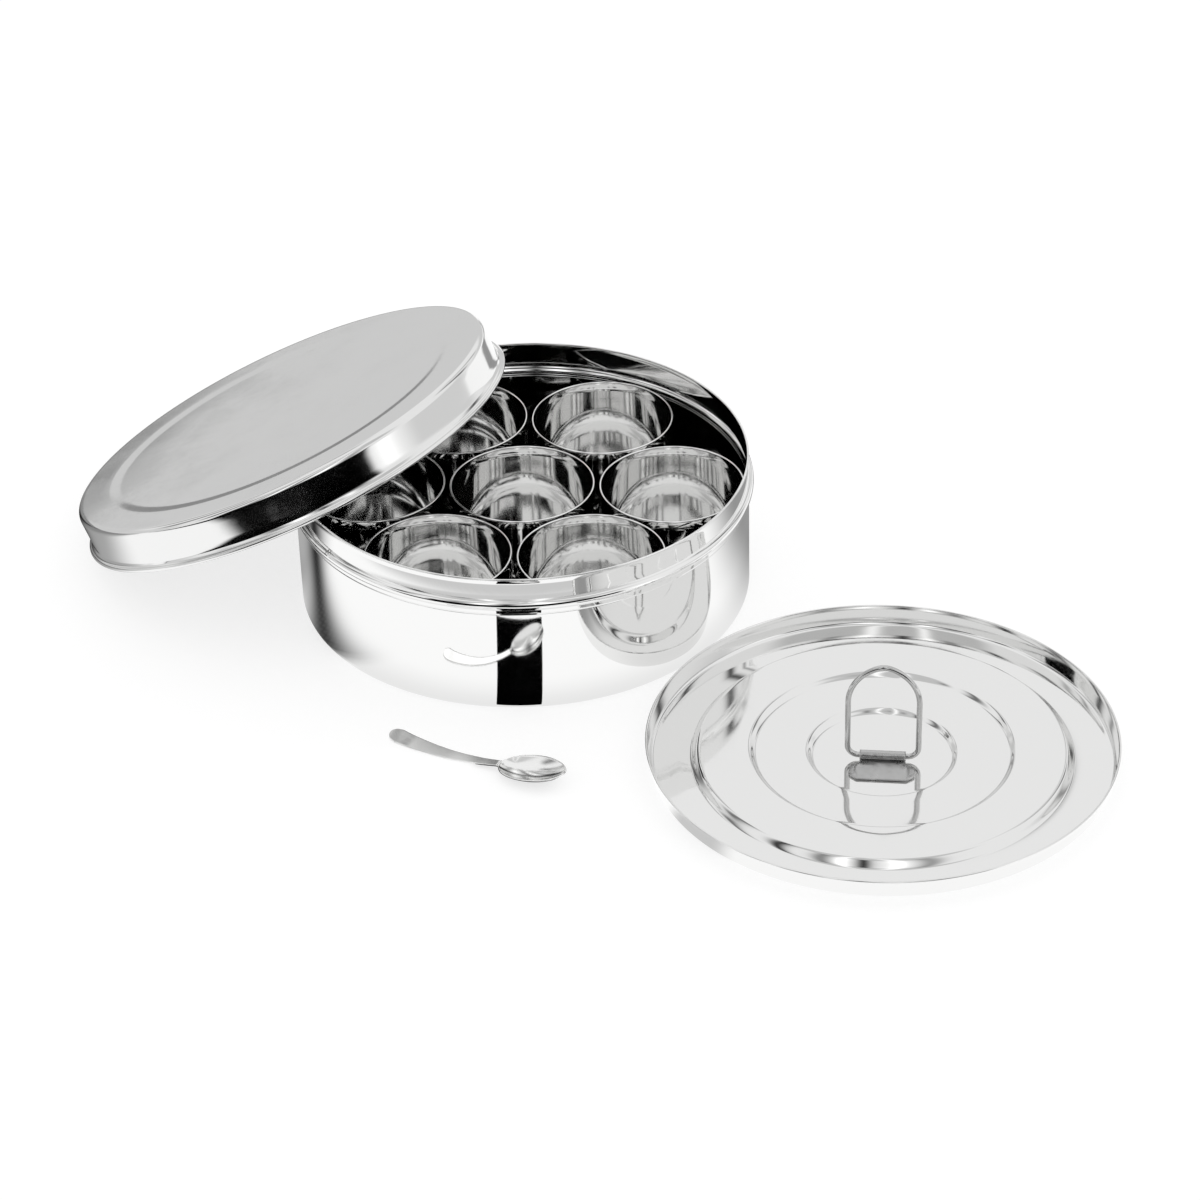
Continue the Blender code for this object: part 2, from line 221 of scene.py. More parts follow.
def turned_mesh(name, outline, steps):
    """Spins an outline that starts and ends on the axis once round Z."""
    work = bmesh.new()
    line = [work.verts.new((point[0], 0.0, point[1])) for point in outline]
    edges = [work.edges.new(pair) for pair in zip(line, line[1:])]
    bmesh.ops.spin(work, geom=line + edges, cent=(0, 0, 0), axis=(0, 0, 1), dvec=(0, 0, 0),
                   angle=math.tau, steps=steps, use_merge=True, use_duplicate=False)
    bmesh.ops.remove_doubles(work, verts=work.verts, dist=0.000002)
    bmesh.ops.dissolve_degenerate(work, dist=0.000001, edges=work.edges)
    bmesh.ops.recalc_face_normals(work, faces=work.faces)
    return finished_mesh(name, work)


def thicken(work, sheet):
    """Gives an open surface a sheet's thickness, half of it on each side."""
    bmesh.ops.recalc_face_normals(work, faces=work.faces)
    work.normal_update()
    shifts = [(vertex, vertex.normal * (sheet / 2)) for vertex in work.verts]
    for vertex, shift in shifts:
        vertex.co += shift
    bmesh.ops.solidify(work, geom=work.faces[:], thickness=sheet)


def add_piece(name, mesh, body, nodes, material):
    """A finished piece: placed, shaded, riding on its body in place of its nodes."""
    piece = bpy.data.objects.new(name, mesh)
    bpy.context.scene.collection.objects.link(piece)
    mesh.materials.append(material)
    mesh.shade_smooth()
    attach(piece, body)
    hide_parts(*nodes)
    print(name, "-", len(mesh.polygons), "faces")
    return piece


# %% [markdown]
# ## Mirror-polished steel
#
# Polished stainless steel has almost no colour of its own: it shows the room.
# What makes it read as real steel is what disturbs that mirror. The sheet is
# never quite flat, the spinning and polishing leave very fine rings, deep
# drawing leaves faint streaks down the walls, and handling leaves a haze and a
# few hairline scratches. Each is a small bump or a small change in roughness,
# measured from the piece's own axis.

# %% Small helpers for material nodes
def add_node(tree, kind, **settings):
    """A new node with its settings."""
    node = tree.nodes.new(kind)
    for name, value in settings.items():
        setattr(node, name, value)
    return node


def maths(tree, operation, first, second=None):
    """A Math node: inputs are sockets or plain numbers."""
    node = add_node(tree, "ShaderNodeMath", operation=operation)
    for socket, value in zip(node.inputs, (first, second)):
        if value is None:
            continue
        if isinstance(value, (int, float)):
            socket.default_value = value
        else:
            tree.links.new(value, socket)
    return node.outputs[0]


def joined(tree, *values):
    """Three values as one vector."""
    node = add_node(tree, "ShaderNodeCombineXYZ")
    for socket, value in zip(node.inputs, values):
        tree.links.new(value, socket)
    return node.outputs["Vector"]


def noise(tree, vector, scale, detail, roughness):
    """Soft random pattern from 0 to 1, with a mean of about one half."""
    node = add_node(tree, "ShaderNodeTexNoise", noise_dimensions="3D")
    tree.links.new(vector, node.inputs["Vector"])
    node.inputs["Scale"].default_value = scale
    node.inputs["Detail"].default_value = detail
    node.inputs["Roughness"].default_value = roughness
    return node.outputs["Fac"]


def remap(tree, value, low_in, high_in, low_out, high_out):
    """The value carried from one range to another, and held at that range's ends."""
    node = add_node(tree, "ShaderNodeMapRange", clamp=True)
    tree.links.new(value, node.inputs["Value"])
    for name, number in (("From Min", low_in), ("From Max", high_in),
                         ("To Min", low_out), ("To Max", high_out)):
        node.inputs[name].default_value = number
    return node.outputs["Result"]


def bump(tree, height, strength, distance, after=None):
    """The surface normal tilted by a height pattern, on top of an earlier bump."""
    node = add_node(tree, "ShaderNodeBump")
    node.inputs["Strength"].default_value = strength
    node.inputs["Distance"].default_value = distance
    tree.links.new(height, node.inputs["Height"])
    if after is not None:
        tree.links.new(after, node.inputs["Normal"])
    return node.outputs["Normal"]


# %% The patterns that disturb the mirror
RING_FINENESS = 1400.0
RING_DRIFT = 0.004              # how far a ring changes on its way round, in metres
STREAK_COUNT = 7.0
STREAK_SHORTENING = 6.0         # how fast a streak changes down the wall
SMEAR_FINENESS = 34.0
SCRATCH_FINENESS = 420.0


def own_coordinates(tree, place):
    """A point of the piece in its turning frame: the point, its radius, turn and height."""
    inverse = place.inverted()
    coordinates = add_node(tree, "ShaderNodeTexCoord")
    mapping = add_node(tree, "ShaderNodeMapping", vector_type="POINT")
    mapping.inputs["Location"].default_value = inverse.translation
    mapping.inputs["Rotation"].default_value = inverse.to_euler()
    tree.links.new(coordinates.outputs["Object"], mapping.inputs["Vector"])
    own = mapping.outputs["Vector"]
    split = add_node(tree, "ShaderNodeSeparateXYZ")
    tree.links.new(own, split.inputs["Vector"])
    x, y, z = split.outputs
    square = maths(tree, "ADD", maths(tree, "MULTIPLY", x, x), maths(tree, "MULTIPLY", y, y))
    return own, maths(tree, "SQRT", square), maths(tree, "ARCTAN2", y, x), z


def round_the_axis(tree, turn, size):
    """Both coordinates of a point that goes round a circle of this size with the turn."""
    return [maths(tree, "MULTIPLY", maths(tree, kind, turn), size) for kind in ("COSINE", "SINE")]


def spun_rings(tree, radius, turn, height):
    """Very fine rings, almost the same all the way round."""
    along = maths(tree, "ADD", radius, height)
    vector = joined(tree, along, *round_the_axis(tree, turn, RING_DRIFT))
    return noise(tree, vector, RING_FINENESS, 3.0, 0.7)


def drawn_streaks(tree, turn, height):
    """Upright streaks, which change round the wall much faster than down it."""
    down = maths(tree, "MULTIPLY", height, STREAK_SHORTENING)
    vector = joined(tree, *round_the_axis(tree, turn, 1.0), down)
    return noise(tree, vector, STREAK_COUNT, 4.0, 0.6)


# %% The steel itself
STEEL_BLUE = 0.995              # share of blue in the grey, which is a very little warm
SMEAR_RANGE = (0.42, 0.70)      # part of each pattern that shows
SCRATCH_RANGE = (0.45, 0.75)
WAVE_DEPTH = 0.002
RING_DEPTH = 0.00002
STREAK_DEPTH = 0.0015


def polished_steel(name, place, grey, haze, haze_spread, wave, rings, wave_size=22.0, streaks=0.0):
    """Polished sheet steel. place carries the piece's turning frame to its place in the world."""
    material = bpy.data.materials.new(name)
    material.use_nodes = True
    tree = material.node_tree
    shader = tree.nodes["Principled BSDF"]
    shader.inputs["Base Color"].default_value = (grey, grey, grey * STEEL_BLUE, 1)
    shader.inputs["Metallic"].default_value = 1.0

    own, radius, turn, height = own_coordinates(tree, place)
    smears = noise(tree, own, SMEAR_FINENESS, 5.0, 0.6)
    scratches = noise(tree, own, SCRATCH_FINENESS, 2.0, 0.6)
    rough = maths(tree, "ADD", remap(tree, smears, *SMEAR_RANGE, haze, haze + haze_spread),
                  remap(tree, scratches, *SCRATCH_RANGE, 0.0, haze_spread * 0.5))
    normal = bump(tree, noise(tree, own, wave_size, 1.0, 0.4), wave, WAVE_DEPTH)
    normal = bump(tree, spun_rings(tree, radius, turn, height), rings, RING_DEPTH, normal)
    if streaks:
        drawn = drawn_streaks(tree, turn, height)
        rough = maths(tree, "ADD", rough, remap(tree, drawn, *SCRATCH_RANGE, 0.0, haze_spread))
        normal = bump(tree, drawn, streaks, STREAK_DEPTH, normal)
    tree.links.new(rough, shader.inputs["Roughness"])
    tree.links.new(normal, shader.inputs["Normal"])
    return material


# %% [markdown]
# ## The box
#
# The box is drawn from one disc. A round corner leads from the flat base into
# an upright wall. Below the rim the wall steps out, bulges into a bead, and
# goes on as a straight neck with a hem. The bead is what the outer lid's edge
# comes down on.

# %% Box sizes and profile
_, box_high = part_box("box_body")
BOX_HEIGHT = box_high.z
BEAD_RADIUS = box_high.x
BOX_RADIUS = 110.0 * MM
BOX_SHEET = 0.6 * MM
BOX_CORNER = 5.0 * MM
SHOULDER_HEIGHT = 55.0 * MM
SHOULDER_STEP = 0.5 * MM
BEAD_HEIGHT = 59.8 * MM
BEAD_ROLL = 2.1 * MM
BEAD_FOOT = 0.6 * MM             # straight stretches below and above the bead
BEAD_HEAD = 0.7 * MM
NECK_RADIUS = 109.8 * MM
RIM_HEM = 0.5 * MM


def box_path():
    """Middle of the box's sheet, from the centre of the base to the rim."""
    half = BOX_SHEET / 2
    wall = BOX_RADIUS - half
    corner = BOX_CORNER - half
    shoulder = wall + SHOULDER_STEP
    bead = (BEAD_RADIUS - half - BEAD_ROLL, BEAD_HEIGHT)
    neck = NECK_RADIUS - half
    path = [(0.0, half)] + straight((0.0, half), (wall - corner - MM, half), 6)
    path += arc((wall - corner, half + corner), corner, -90, 0, 10)
    path += straight((wall, half + corner), (wall, SHOULDER_HEIGHT - 0.9 * MM), 10)
    path += pressed_step((wall, SHOULDER_HEIGHT - 0.6 * MM), (shoulder, SHOULDER_HEIGHT + 0.4 * MM), 5)
    path += [(shoulder, BEAD_HEIGHT - BEAD_ROLL - BEAD_FOOT)]
    path += arc(bead, BEAD_ROLL, -68, 80, 12)
    path += [(neck, BEAD_HEIGHT + BEAD_ROLL + BEAD_HEAD)]
    path += straight(path[-1], (neck, BOX_HEIGHT - RIM_HEM), 4)
    return path


box_turning = Matrix.Identity(4)
box_steel = polished_steel("box_steel", box_turning, grey=0.88, haze=0.03, haze_spread=0.03,
                           wave=0.02, rings=0.03)
box_mesh = turned_mesh("box_wall", hemmed_sheet(rounded(box_path(), 0.5 * MM), BOX_SHEET, RIM_HEM), 224)
add_piece("box_wall", box_mesh, "box", ["box_body"], box_steel)

# %% [markdown]
# ## The cups
#
# Seven loose cups stand on the box's floor, one in the middle and six round it.
# They are drawn cups with almost upright walls, so each has a round corner at
# its foot, and a small rolled rim. Each is its own piece, on its own body. The
# cups are a little hazier inside than the box's wall, which softens the many
# mirrored streaks in them.

# %% Cup sizes and profile
CUP_SHEET = 0.5 * MM
CUP_TAPER = math.radians(1.6)
CUP_CORNER = 8.0 * MM
CUP_HEM = 0.5 * MM
CUP_NAMES = ["cup_centre"] + ["cup_%d" % (i + 1) for i in range(6)]


def cup_path(radius, height):
    """Middle of a cup's sheet, with the underside of its base at height zero."""
    half = CUP_SHEET / 2
    rim = radius - CUP_HEM
    corner = CUP_CORNER - half
    foot = rim - (height - corner) * math.tan(CUP_TAPER) - corner
    path = [(0.0, half)] + straight((0.0, half), (foot - MM, half), 4)
    path += arc((foot, half + corner), corner, -90, -math.degrees(CUP_TAPER), 14)
    path += straight(path[-1], (rim, height - CUP_HEM), 10)
    return path


# %% Make the cups
for cup in CUP_NAMES:
    low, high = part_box(cup)
    middle = (low + high) / 2
    place = Matrix.Translation((middle.x, middle.y, low.z))
    cup_steel = polished_steel(cup + "_steel", place, grey=0.86, haze=0.045, haze_spread=0.02,
                               wave=0.02, wave_size=40.0, rings=0.02, streaks=0.01)
    radius = (high.x - low.x) / 2
    outline = hemmed_sheet(cup_path(radius, high.z - low.z), CUP_SHEET, CUP_HEM, 12)
    cup_mesh = turned_mesh(cup + "_shell", outline, 112)
    cup_mesh.transform(place)
    add_piece(cup + "_shell", cup_mesh, cup, [cup], cup_steel)

# %% [markdown]
# ## The inner lid
#
# The inner lid lies flat on the cups when the box is closed. Pressed rings make
# the thin plate stiff: the middle is low, two steps lead up to a raised band,
# and beyond it a channel runs to the upright, slightly flared rim.

# %% Inner lid sizes and profile
inner_low, inner_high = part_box("inner_lid")
INNER_LID_RADIUS = (inner_high.x - inner_low.x) / 2
INNER_LID_HEIGHT = inner_high.z - inner_low.z
INNER_LID_SHEET = 0.6 * MM
INNER_LID_FLARE = 1.6 * MM
INNER_LID_CORNER = 2.2 * MM
INNER_LID_STEPS = (33.4 * MM, 59.8 * MM, 86.0 * MM)
STEP_RISE = 2.5 * MM
STEP_RUNS = (1.9 * MM, 2.0 * MM, 2.4 * MM)      # half the width of each step
STEP_APPROACH = 0.8 * MM                        # level stretch that ends just before a step
CHANNEL_HEIGHT = 1.3 * MM


def inner_lid_path():
    """Middle of the inner lid's sheet, from its centre to its rim."""
    low = INNER_LID_SHEET / 2
    middle = low + STEP_RISE
    high = middle + STEP_RISE
    rim = INNER_LID_RADIUS - RIM_HEM
    lean = math.atan2(INNER_LID_FLARE, INNER_LID_HEIGHT - CHANNEL_HEIGHT)
    corner = INNER_LID_CORNER
    foot = rim - INNER_LID_FLARE - corner
    path = [(0.0, low)]
    levels = (low, middle, high, CHANNEL_HEIGHT)
    for step, run, below, above in zip(INNER_LID_STEPS, STEP_RUNS, levels, levels[1:]):
        path += straight(path[-1], (step - run - STEP_APPROACH, below), 4)
        path += pressed_step((step - run, below), (step + run, above))
    path += straight(path[-1], (foot - STEP_APPROACH, CHANNEL_HEIGHT), 3)
    path += arc((foot, CHANNEL_HEIGHT + corner), corner, -90, -math.degrees(lean), 8)
    path += straight(path[-1], (rim, INNER_LID_HEIGHT - RIM_HEM), 3)
    return path


inner_middle = node_middle("inner_lid")
inner_place = Matrix.Translation((inner_middle.x, inner_middle.y, inner_low.z))
inner_steel = polished_steel("inner_lid_steel", inner_place, grey=0.85, haze=0.04, haze_spread=0.05,
                             wave=0.03, rings=0.05)
inner_mesh = turned_mesh("inner_plate", hemmed_sheet(inner_lid_path(), INNER_LID_SHEET, RIM_HEM), 224)
inner_mesh.transform(inner_place)
add_piece("inner_plate", inner_mesh, "inner_lid", ["inner_lid"], inner_steel)

# %% [markdown]
# ## The ring and its clip
#
# The lid is lifted by a ring of round wire, shaped like a D lying on its flat
# side. Its bar turns in a rolled strip of sheet, whose flange is spot-welded
# to the plate. The hinge of the frame says where that bar is.

# %% Where the ring turns
hinge = next(joint for joint in frame["joints"] if joint["name"] == "ring_handle_fold")
hinge_point = Vector(hinge["pos_m"])
hinge_along = Vector(hinge["axis"]).normalized()
hinge_place = Matrix.Translation(hinge_point) @ Matrix.Rotation(
    math.atan2(hinge_along.y, hinge_along.x), 4, "Z")
WIRE_RADIUS = 1.3 * MM
RING_WIDTH = 32.4 * MM
RING_HEIGHT = 48.6 * MM
RING_CORNER = 5.0 * MM
ARCH_RADIUS = 20.0 * MM
PEAK_RADIUS = 8.0 * MM
print("ring bar at", [round(value, 4) for value in hinge_point])


# %% Bend half of the ring, then mirror it
def spin_end(work, end, centre, degrees, steps):
    """Sweeps the wire's end ring round a centre in the XZ plane, and returns the new end."""
    result = bmesh.ops.spin(work, geom=end, cent=centre, axis=(0, 1, 0), dvec=(0, 0, 0),
                            angle=math.radians(degrees), steps=steps, use_duplicate=False)
    return result["geom_last"]


def push_end(work, end, move):
    """Extends the wire's end ring straight on, and returns the new end."""
    result = bmesh.ops.spin(work, geom=end, cent=(0, 0, 0), axis=(0, 1, 0), dvec=Vector(move) / 3,
                            angle=0.0, steps=3, use_duplicate=False)
    return result["geom_last"]


def ring_mesh():
    """The wire from the middle of its bar to the middle of its arch, mirrored to a whole ring."""
    half = RING_WIDTH / 2
    lean = math.acos((ARCH_RADIUS - half) / (ARCH_RADIUS - PEAK_RADIUS))
    arch_rise = ARCH_RADIUS * math.sin(lean) + PEAK_RADIUS * (1 - math.sin(lean))
    side = RING_HEIGHT - RING_CORNER - arch_rise
    work = bmesh.new()
    bmesh.ops.create_circle(work, segments=24, radius=WIRE_RADIUS, cap_ends=False,
                            matrix=Matrix.Rotation(math.pi / 2, 4, "Y"))
    end = work.verts[:] + work.edges[:]
    end = push_end(work, end, (half - RING_CORNER, 0, 0))
    end = spin_end(work, end, (half - RING_CORNER, 0, RING_CORNER), -90, 12)
    end = push_end(work, end, (0, 0, side))
    spring = RING_CORNER + side
    end = spin_end(work, end, (half - ARCH_RADIUS, 0, spring), -math.degrees(lean), 24)
    peak = RING_HEIGHT - PEAK_RADIUS
    end = spin_end(work, end, (0, 0, peak), -(90 - math.degrees(lean)), 8)
    for vertex in (v for v in end if isinstance(v, bmesh.types.BMVert)):
        vertex.co.x = 0.0
    bmesh.ops.mirror(work, geom=work.verts[:] + work.edges[:] + work.faces[:],
                     matrix=Matrix.Identity(4), merge_dist=0.00002, axis="X")
    bmesh.ops.remove_doubles(work, verts=work.verts, dist=0.00001)
    bmesh.ops.recalc_face_normals(work, faces=work.faces)
    return finished_mesh("ring_wire", work)


ring_steel = polished_steel("ring_steel", hinge_place, grey=0.60, haze=0.10, haze_spread=0.06,
                            wave=0.10, wave_size=120.0, rings=0.02)
wire = ring_mesh()
wire.transform(hinge_place)
add_piece("ring_wire", wire, "ring_handle", ["ring_handle"], ring_steel)

# %% [markdown]
# The clip is one strip. Its line runs from the front of the flange, under the
# bar, and round over it. Extending that line along the bar makes the sheet, and
# the flange's sides are then drawn out further than the roll's.

# %% Roll the clip
CLIP_SHEET = 0.7 * MM
KNUCKLE_WIDTH = 21.0 * MM
FLANGE_WIDTH = 30.0 * MM
FLANGE_FRONT = -16.3 * MM
FLANGE_BACK = -4.4 * MM
ROLL_GAP = 0.3 * MM
ROLL_END = 205                  # degrees round the bar at which the strip ends
CLIP_COLUMNS = 22
EAR_FRONT_CURVE = 3.0 * MM      # length over which the flange's corners are drawn in
EAR_BACK_CURVE = 2.6 * MM
EAR_DRAW_IN = 0.8


def draw_out_ear(work, side, roll):
    """Extends one side of the flange, and rounds the new edge's corners."""
    edge_x = side * KNUCKLE_WIDTH / 2
    ear = (FLANGE_WIDTH - KNUCKLE_WIDTH) / 2
    rim = [e for e in work.edges if e.is_boundary and
           all(abs(v.co.x - edge_x) < 1e-6 and v.co.y < FLANGE_BACK + 1e-6 and v.co.z < -roll * 0.98
               for v in e.verts)]
    out = bmesh.ops.extrude_edge_only(work, edges=rim)["geom"]
    moved = [v for v in out if isinstance(v, bmesh.types.BMVert)]
    bmesh.ops.translate(work, verts=moved, vec=(side * ear, 0, 0))
    for vertex in moved:
        front = max(0.0, (FLANGE_FRONT + EAR_FRONT_CURVE - vertex.co.y) / EAR_FRONT_CURVE)
        back = max(0.0, (vertex.co.y - FLANGE_BACK + EAR_BACK_CURVE) / EAR_BACK_CURVE)
        vertex.co.x -= side * ear * max(front, back) * EAR_DRAW_IN


def clip_mesh():
    """The strip rolled round the bar, with a wider flange in front."""
    roll = WIRE_RADIUS + ROLL_GAP + CLIP_SHEET / 2
    flange_rows = straight((FLANGE_FRONT, -roll), (FLANGE_BACK, -roll), 10)
    line = [(FLANGE_FRONT, -roll)] + flange_rows + arc((0.0, 0.0), roll, -90, ROLL_END, 26)
    work = bmesh.new()
    points = [work.verts.new((-KNUCKLE_WIDTH / 2, y, z)) for y, z in line]
    edges = [work.edges.new(pair) for pair in zip(points, points[1:])]
    bmesh.ops.spin(work, geom=points + edges, cent=(0, 0, 0), axis=(1, 0, 0), angle=0.0,
                   dvec=(KNUCKLE_WIDTH / CLIP_COLUMNS, 0, 0), steps=CLIP_COLUMNS, use_duplicate=False)
    for side in (-1, 1):
        draw_out_ear(work, side, roll)
    thicken(work, CLIP_SHEET)
    return finished_mesh("ring_clip", work)


clip = clip_mesh()
clip.transform(hinge_place)
clip_steel = polished_steel("clip_steel", hinge_place, grey=0.50, haze=0.18, haze_spread=0.20,
                            wave=0.35, wave_size=160.0, rings=0.0)
add_piece("ring_clip", clip, "inner_lid", ["handle_clip"], clip_steel)

# %% [markdown]
# ## The outer lid
#
# The outer lid is a wide shallow cover. Its panel is sunk a little inside a
# soft ring, its shoulder is rounded, and its skirt flares to a rolled edge.
# It is turned upright about Z first, and then carried to where it leans.

# %% Outer lid sizes and profile
LID_SKIRT_RADIUS = 111.0 * MM
LID_HEIGHT = 20.5 * MM
LID_SHEET = 0.6 * MM
LID_SHOULDER = 3.2 * MM
LID_PANEL = 90.0 * MM
LID_PANEL_SINK = 0.3 * MM
LID_PANEL_RUN = 3.4 * MM        # half the width of the step round the panel
LID_SHOULDER_APPROACH = 0.8 * MM
LID_SKIRT_END = 3.8 * MM        # height at which the skirt starts to flare
LID_EDGE_ROLL = 1.2 * MM
LID_EDGE_RADIUS = 112.8 * MM
LID_FLARE = ((0.25 * MM, 2.6 * MM), (0.8 * MM, 1.5 * MM))     # out from the skirt, and height


def outer_lid_path():
    """Middle of the outer lid's sheet, with its edge roll's centre at height zero."""
    half = LID_SHEET / 2
    top = LID_HEIGHT - half
    skirt = LID_SKIRT_RADIUS - half
    shoulder = LID_SHOULDER - half
    panel = top - LID_PANEL_SINK
    path = [(0.0, panel)] + straight((0.0, panel), (LID_PANEL - LID_PANEL_RUN - MM, panel), 8)
    path += pressed_step((LID_PANEL - LID_PANEL_RUN, panel), (LID_PANEL + LID_PANEL_RUN, top), 14)
    path += straight(path[-1], (skirt - shoulder - LID_SHOULDER_APPROACH, top), 4)
    path += arc((skirt - shoulder, top - shoulder), shoulder, 90, 0, 12)
    path += straight(path[-1], (skirt, LID_SKIRT_END), 5)
    path += [(skirt + out, height) for out, height in LID_FLARE] + [(LID_EDGE_RADIUS, 0.0)]
    return path


outer_place = lid_place("outer_lid")
outer_steel = polished_steel("outer_lid_steel", outer_place, grey=0.83, haze=0.06, haze_spread=0.05,
                             wave=0.04, rings=0.06)
outer_outline = hemmed_sheet(rounded(outer_lid_path(), 1.0 * MM), LID_SHEET, LID_EDGE_ROLL)
outer_mesh = turned_mesh("outer_cover", outer_outline, 224)
outer_mesh.transform(outer_place)
add_piece("outer_cover", outer_mesh, "outer_lid", ["outer_lid"], outer_steel)
print("outer lid leans", round(math.degrees(outer_place.to_3x3().col[2].angle((0, 0, 1))), 2), "degrees")

# %% [markdown]
# ## The spoon
#
# The spoon is stamped from thicker sheet. A flat grid is bent to shape: its
# width follows the handle, the narrow neck and the oval bowl, its height
# follows the handle's curve, and the bowl is pressed down in the middle. Then
# the sheet gets its thickness, half of it on each side.

# %% Spoon sizes
SPOON_LENGTH = 89.3 * MM
SPOON_SHEET = 0.9 * MM
HANDLE_HALF_WIDTH = 5.3 * MM
NECK_HALF_WIDTH = 2.0 * MM
BOWL_HALF_WIDTH = 10.2 * MM
BOWL_HALF_LENGTH = 16.4 * MM
BOWL_DEPTH = 4.5 * MM
TIP_HALF_WIDTH = 0.5 * MM
SPOON_RISE = [(0.0, 5.2), (12.0, 2.6), (30.0, 1.0), (46.0, 1.7), (57.0, 3.2), (74.0, 5.4),
              (89.8, 7.3)]      # millimetres from the handle's end, and height there


# %% Spoon curves
def through(knots, s):
    """Smooth curve through given knots (position, value), by cubic Hermite pieces."""
    for i in range(len(knots) - 1):
        if s <= knots[i + 1][0] or i == len(knots) - 2:
            break
    (s0, v0), (s1, v1) = knots[i], knots[i + 1]
    slope = (v1 - v0) / (s1 - s0)
    first = slope if i == 0 else (v1 - knots[i - 1][1]) / (s1 - knots[i - 1][0])
    last = slope if i + 2 == len(knots) else (knots[i + 2][1] - v0) / (knots[i + 2][0] - s0)
    t = (s - s0) / (s1 - s0)
    span = s1 - s0
    return ((2 * t ** 3 - 3 * t ** 2 + 1) * v0 + (t ** 3 - 2 * t ** 2 + t) * span * first
            + (3 * t ** 2 - 2 * t ** 3) * v1 + (t ** 3 - t ** 2) * span * last)


def bowl_share(s):
    """One in the middle of the bowl, falling to zero at its ends."""
    centre = SPOON_LENGTH - BOWL_HALF_LENGTH
    return max(0.0, 1 - ((s - centre) / BOWL_HALF_LENGTH) ** 2)


def spoon_half_width(s):
    """Half the width at a distance from the handle's end: the handle and the bowl run together."""
    neck = SPOON_LENGTH - 2 * BOWL_HALF_LENGTH
    taper = max(0.0, 1 - s / neck) ** 1.4
    handle = NECK_HALF_WIDTH + (HANDLE_HALF_WIDTH - NECK_HALF_WIDTH) * taper
    if s < HANDLE_HALF_WIDTH:
        handle *= math.sqrt(max(0.0, 1 - (1 - s / HANDLE_HALF_WIDTH) ** 2))
    if s > SPOON_LENGTH - BOWL_HALF_LENGTH:
        handle = 0.0
    bowl = BOWL_HALF_WIDTH * bowl_share(s) ** 0.5
    return max((handle ** 4 + bowl ** 4) ** 0.25, TIP_HALF_WIDTH)


# %% Bend the grid into a spoon
def spoon_mesh():
    """A flat grid bent to the spoon's width, height and bowl, lying along X."""
    work = bmesh.new()
    bmesh.ops.create_grid(work, x_segments=130, y_segments=24, size=0.5)
    for vertex in work.verts:
        s = SPOON_LENGTH * (1 - math.cos(math.pi * (vertex.co.x + 0.5))) / 2
        across = 2 * vertex.co.y
        depth = BOWL_DEPTH * bowl_share(s) ** 0.8
        height = through([(p * MM, h * MM) for p, h in SPOON_RISE], s) - depth * (1 - across ** 2)
        vertex.co = (s - SPOON_LENGTH / 2, across * spoon_half_width(s), height)
    thicken(work, SPOON_SHEET)
    return finished_mesh("spoon_sheet", work)


def spoon_place():
    """From the spoon's own frame, with its bowl towards +X, to its place on the table."""
    _, directions = own_directions("spoon")
    along = directions[2] if directions[2].x > 0 else -directions[2]
    turn = math.atan2(along.y, along.x)
    heading = Matrix.Rotation(turn, 4, "Z")
    points = node_points("spoon")
    reach = [Vector(point).dot(heading.col[0].xyz) for point in points]
    across = [Vector(point).dot(heading.col[1].xyz) for point in points]
    centre = Vector(((min(reach) + max(reach)) / 2, (min(across) + max(across)) / 2, 0.0))
    return Matrix.Translation(heading @ centre) @ heading


spoon_at = spoon_place()
spoon_steel = polished_steel("spoon_steel", spoon_at, grey=0.92, haze=0.13, haze_spread=0.08,
                             wave=0.02, wave_size=60.0, rings=0.0)
spoon = spoon_mesh()
spoon.transform(spoon_at)
add_piece("spoon_sheet", spoon, "spoon", ["spoon"], spoon_steel)

# %% [markdown]
# ## Table and light
#
# Polished steel is lit by what it reflects. The table is plain and pale, and
# an even white light fills the room, so nothing casts a hard shadow. What the
# steel mirrors is shaped with two reflection boards that only glossy rays see:
# a dome for the room, and a flat board on the table. Both glow softly, and the
# glow of each point is worked out from its direction or its place, much as
# white sheets and black flags are set up round a table in a studio.

# %% Boards that glow
def seen_only_in_steel(thing):
    """Hides a board from everything but mirrored rays."""
    thing.visible_camera = False
    thing.visible_diffuse = False
    thing.visible_shadow = False
    thing.visible_transmission = False


def glow_material(name):
    """Emission whose strength is the mesh's own glow attribute."""
    material = bpy.data.materials.new(name)
    material.use_nodes = True
    tree = material.node_tree
    tree.nodes.clear()
    glow = add_node(tree, "ShaderNodeAttribute", attribute_name="glow")
    emission = add_node(tree, "ShaderNodeEmission")
    output = add_node(tree, "ShaderNodeOutputMaterial")
    tree.links.new(glow.outputs["Fac"], emission.inputs["Strength"])
    tree.links.new(emission.outputs["Emission"], output.inputs["Surface"])
    return material


glowing = glow_material("reflection_board")


def glow_board(name, work, brightness):
    """A stage board from a bmesh, each vertex glowing as brightness(place) says."""
    mesh = finished_mesh(name, work)
    glow = mesh.attributes.new("glow", "FLOAT", "POINT")
    glow.data.foreach_set("value", [brightness(vertex.co) for vertex in mesh.vertices])
    mesh.materials.append(glowing)
    board = bpy.data.objects.new(name, mesh)
    bpy.context.scene.collection.objects.link(board)
    seen_only_in_steel(board)
    print(name, "glows from", round(min(d.value for d in glow.data), 2),
          "to", round(max(d.value for d in glow.data), 2))
    return board


# %% Soft steps and strips of light
def fade(value, start, end):
    """Zero up to start and one from end on, smoothly; start may be the larger."""
    t = min(1.0, max(0.0, (value - start) / (end - start)))
    return t * t * (3 - 2 * t)


def strip(value, centre, half_width):
    """One in the strip's middle, falling smoothly to zero on both sides."""
    return math.exp(-((value - centre) / half_width) ** 2)


